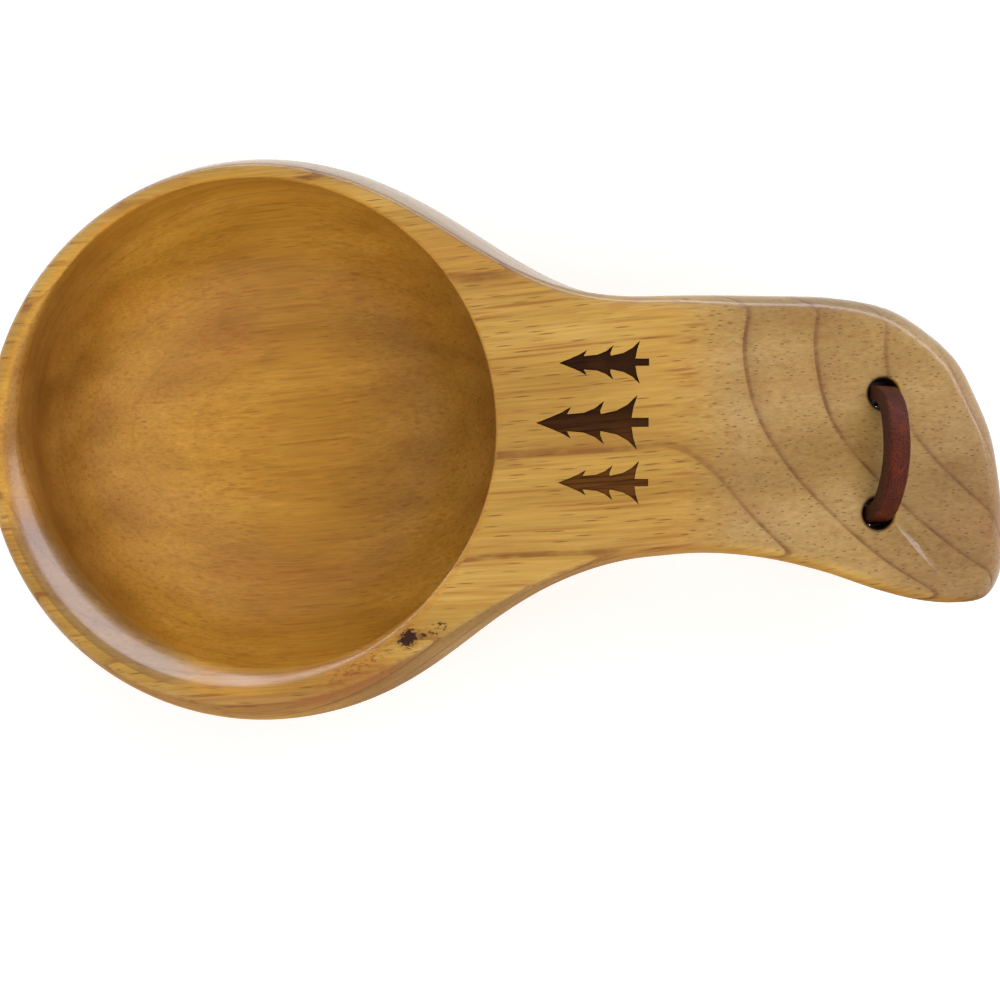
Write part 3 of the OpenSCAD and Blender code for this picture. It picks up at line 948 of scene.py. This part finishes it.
def wood_material():
    """Lacquered wood. The lacquer is thinner on the -Y side and does not reach into the lace holes. Its
    colour holds painted shade on the -Y side, on the south rim and in the lace holes, a painted grey
    reflection on the +Y side, a painted lavender reflection under the lip and painted warm bounce light in
    the hollow.
    """
    sh = Shader("lacquered_wood")
    grain = grain_place(sh)
    places = WoodPlaces(sh)
    fibre = sh.noise(grain, (16, 0.4, 0.4), detail=3, rough=0.6)
    short_dash = vessels(sh, grain, (6, 0.44, 0.44), 0.35)
    tone = grain_tone(sh, grain, places, fibre, short_dash)
    tone = place_tints(sh, grain, places, tone)
    # Painted shade: the walls of the lace holes are near black.
    tone = sh.mix(places.solid, srgb(22, 11, 5), tone)
    tone = wood_marks(sh, tone, grain)

    polish = sh.math("MULTIPLY", sh.math("ADD", places.lip, places.north), 0.25)
    lacquer = sh.math("MULTIPLY", sh.math("SUBTRACT", 1, places.shady), places.solid)
    relief = sh.math("ADD", sh.math("MULTIPLY", short_dash, -0.8), sh.math("MULTIPLY", fibre, 0.5))
    crease = sh.math("SUBTRACT", sh.spot(*CREASE_SPOT), 1.0)
    groove = sh.bump(sh.math("MINIMUM", crease, 0.0), CREASE_DEPTH)
    matt = sh.math("MULTIPLY", places.shady, 0.4)
    return sh.finish(
        Base_Color=tone,
        Roughness=sh.math("ADD", sh.step(fibre, 0.2, 0.8, 0.42, 0.55), matt),
        Normal=sh.bump(relief, 0.05, 0.7, Normal=groove),
        Specular_IOR_Level=0.2,
        Coat_Weight=sh.math("MULTIPLY", lacquer, sh.math("ADD", polish, 0.5)),
        Coat_Roughness=0.19,
        Coat_Normal=groove,
    )


def bore_gap(sh, side):
    """Distance from a lace hole's axis, in millimetres."""
    away = sh.vector("SUBTRACT", sh.place, [c * MM for c in hole_middle(side)])
    square = sh.vector("CROSS_PRODUCT", away, list(HOLE_AXIS))
    return sh.math("DIVIDE", sh.vector("LENGTH", square, out=1), MM)


def wood_marks(sh, tone, grain):
    """The wood's own marks: a small dark knot by the rim with specks beside it, and reddish streaks."""
    ragged = sh.noise(grain, (0.8, 0.45, 0.45), detail=3, rough=0.75)
    streak = sh.noise(grain, (7, 0.8, 0.8), detail=3, rough=0.6)
    along_rim = sh.spot(*RIM_STREAK_SPOT)
    share = sh.math("MULTIPLY", sh.step(along_rim, 0.5, 1.1, 1, 0), sh.step(streak, 0.42, 0.62, 0.15, 0.8))
    tone = sh.mix(share, tone, srgb(150, 84, 34))
    hook = sh.spot(*HOOK_SPOT)
    share = sh.math("MULTIPLY", sh.step(hook, 0.3, 1.15, 1, 0), sh.step(streak, 0.35, 0.6, 0.3, 0.75))
    tone = sh.mix(share, tone, srgb(158, 96, 44))
    knot = sh.spot(*KNOT_SPOT)
    knot = sh.math("ADD", knot, sh.math("MULTIPLY", ragged, 2.6))
    tone = sh.mix(sh.step(knot, 1.7, 2.9, 0.85, 0), tone, srgb(126, 74, 30))
    tone = sh.mix(sh.step(knot, 1.95, 2.2, 1, 0), tone, srgb(50, 26, 12))
    specks = sh.spot(*SPECKS_SPOT)
    share = sh.math("MULTIPLY", sh.step(specks, 0.6, 1.1, 1, 0), sh.step(ragged, 0.52, 0.58))
    tone = sh.mix(share, tone, srgb(66, 38, 20))
    rim_specks = sh.spot(*RIM_SPECKS_SPOT)
    share = sh.math("MULTIPLY", sh.step(rim_specks, 0.5, 1.1, 1, 0), sh.step(ragged, 0.50, 0.60))
    return sh.mix(sh.math("MULTIPLY", share, 0.7), tone, srgb(126, 68, 26))


def burnt_material():
    """Burned wood, darker toward +Y, with darker streaks along the grain."""
    sh = Shader("burnt_wood")
    grain = grain_place(sh)
    streak = sh.noise(grain, (20, 0.5, 0.5), detail=3, rough=0.6)
    mottle = sh.noise(grain, (5, 3, 3), detail=2)
    across = sh.node("ShaderNodeSeparateXYZ", {0: sh.place}).outputs[1]
    side = sh.step(sh.math("ADD", across, sh.math("MULTIPLY", mottle, 0.006)), -0.006, 0.009)
    tone = sh.mix(side, srgb(94, 56, 20), srgb(46, 25, 11))
    tone = sh.mix(sh.step(streak, 0.50, 0.62, 0, 0.7), tone, srgb(28, 14, 7))
    tone = sh.mix(sh.step(mottle, 0.4, 0.8, 0, 0.35), tone, srgb(78, 44, 20))
    return sh.finish(
        Base_Color=tone,
        Roughness=sh.step(streak, 0.3, 0.7, 0.6, 0.75),
        Normal=sh.bump(streak, 0.06, 0.6),
        Specular_IOR_Level=0.05,
    )


def leather_material():
    """The lace's smooth side: dark red-brown leather with fine pebbles and creases."""
    sh = Shader("oiled_leather")
    place = sh.vector("MULTIPLY", sh.place, (1 / MM,) * 3)
    mottle = sh.noise(place, (3.5, 3.5, 3.5), detail=3)
    tone = sh.ramp(mottle, [(0.3, srgb(58, 19, 5)), (0.55, srgb(78, 27, 8)), (0.75, srgb(98, 38, 13))])
    pebble = sh.cells(place, (0.42, 0.42, 0.42))
    crease = sh.noise(place, (0.9, 0.9, 0.9), detail=4, rough=0.65)
    tone = sh.mix(sh.step(pebble, 0.45, 0.75, 0, 0.45), tone, srgb(52, 22, 14))
    relief = sh.math("SUBTRACT", sh.math("MULTIPLY", crease, 0.8), pebble)
    return sh.finish(
        Base_Color=tone,
        Roughness=sh.step(crease, 0.3, 0.7, 0.32, 0.46),
        Normal=sh.bump(relief, 0.2, 1.0),
        Specular_IOR_Level=0.09,
    )


def leather_edge_material():
    """The lace's cut edge: rough brown fibres."""
    sh = Shader("leather_cut_edge")
    place = sh.vector("MULTIPLY", sh.place, (1 / MM,) * 3)
    fibre = sh.noise(place, (0.35, 0.35, 0.35), detail=4, rough=0.7)
    broad = sh.noise(place, (2.5, 2.5, 2.5), detail=2)
    tone = sh.ramp(fibre, [(0.3, srgb(46, 24, 14)), (0.6, srgb(80, 46, 28)), (0.8, srgb(108, 68, 42))])
    tone = sh.mix(sh.step(broad, 0.4, 0.7, 0, 0.4), tone, srgb(58, 30, 18))
    rough = sh.step(fibre, 0.3, 0.7, 0.7, 0.85)
    normal = sh.bump(fibre, 0.12, 0.8)
    return sh.finish(Base_Color=tone, Roughness=rough, Normal=normal, Specular_IOR_Level=0.1)


def floor_material():
    """Pale floor that glows a little, so that it stays white under soft light."""
    sh = Shader("pale_floor")
    cloud = sh.noise(sh.place, (0.6, 0.6, 0.6), detail=2)
    return sh.finish(
        Base_Color=sh.ramp(cloud, [(0.0, grey(0.90)), (1.0, grey(0.94))]),
        Roughness=0.8,
        Emission_Color=(1.0, 0.99, 1.0, 1.0),
        Emission_Strength=0.3,
    )


# ---------------------------------------------------------------- stage

VIEW_LEAN = (0.2066, -0.0573, 1.0)
VIEW_DISTANCE = 0.450
LOOK_AT = (0.04504, -0.01138, 0.056)
LENS = 96.99
SENSOR_W = 36
NEAREST_SEEN = 0.01


def make_camera():
    """Camera above the cup, a little toward the handle, with the handle level in the picture."""
    back = Vector(VIEW_LEAN).normalized()
    right = (Vector((1, 0, 0)) - back * back.x).normalized()
    up = back.cross(right)
    camera = bpy.data.objects.new("camera", bpy.data.cameras.new("camera"))
    camera.data.lens = LENS
    camera.data.sensor_width = SENSOR_W
    camera.data.clip_start = NEAREST_SEEN
    turn = Matrix((right, up, back)).transposed().to_4x4()
    camera.matrix_world = Matrix.Translation(Vector(LOOK_AT) + back * VIEW_DISTANCE) @ turn
    bpy.context.scene.collection.objects.link(camera)
    bpy.context.scene.camera = camera


def make_light(name, place, size, power, colour):
    """Soft oblong light that faces the middle of the cup."""
    data = bpy.data.lights.new(name, "AREA")
    data.shape = "RECTANGLE"
    data.size, data.size_y = size
    data.energy = power
    data.color = colour
    light = bpy.data.objects.new(name, data)
    light.location = place
    light.rotation_euler = (Vector(LOOK_AT) - Vector(place)).to_track_quat("-Z", "Y").to_euler()
    bpy.context.scene.collection.objects.link(light)
    return light


SKY_LOW = 1.0
SKY_HIGH = 0.25
SKY_COLOUR = (0.96, 0.96, 1.0, 1.0)
SOFT_COLOUR = (1.0, 0.99, 0.97)
WINDOW_COLOUR = (0.82, 0.83, 1.0)
FLOOR_SIZE = 8
FLOOR_Z = -0.0001


def make_sky():
    """Studio room: bright at the horizon and dim overhead, where the camera stands."""
    world = bpy.data.worlds.new("studio")
    bpy.context.scene.world = world
    world.use_nodes = True
    nodes, links = world.node_tree.nodes, world.node_tree.links
    coords = nodes.new("ShaderNodeTexCoord")
    split = nodes.new("ShaderNodeSeparateXYZ")
    fade = nodes.new("ShaderNodeMapRange")
    for key, value in (("From Min", 0.1), ("From Max", 0.95), ("To Min", SKY_LOW), ("To Max", SKY_HIGH)):
        fade.inputs[key].default_value = value
    background = nodes["Background"]
    background.inputs["Color"].default_value = SKY_COLOUR
    links.new(coords.outputs["Generated"], split.inputs[0])
    links.new(split.outputs[2], fade.inputs["Value"])
    links.new(fade.outputs[0], background.inputs["Strength"])


def make_stage():
    """Plain pale floor and soft light: one box over each side of the cup, and two low cool windows."""
    make_sky()
    soft_left = make_light("soft_left", (0.55, 0.7, 1.25), (1.6, 0.8), 11, SOFT_COLOUR)
    soft_right = make_light("soft_right", (0.55, -0.7, 1.25), (1.6, 0.8), 12, SOFT_COLOUR)
    for light in (soft_left, soft_right):
        light.visible_glossy = False
    window = make_light("window", (0.55, 1.0, 0.36), (2.8, 0.25), 19, WINDOW_COLOUR)
    far_window = make_light("far_window", (-1.15, 1.35, 0.30), (1.8, 0.2), 12, WINDOW_COLOUR)
    for light in (window, far_window):
        light.visible_diffuse = False
    bpy.ops.mesh.primitive_plane_add(size=FLOOR_SIZE)
    floor = bpy.context.object
    floor.name = "floor"
    floor.location.z = FLOOR_Z
    floor.data.materials.append(floor_material())
    bpy.context.scene.view_settings.view_transform = "Standard"


make_camera()

leather = [leather_material(), leather_edge_material()]
knot = make_knot(leather)
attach(knot, "root")
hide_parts("lace_knot")

lace, lace_path = make_lace(leather)
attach(lace, "root")
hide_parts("lace")

cup = make_cup(wood_material(), burnt_material())
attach(cup, "root")
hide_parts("cup")

make_stage()
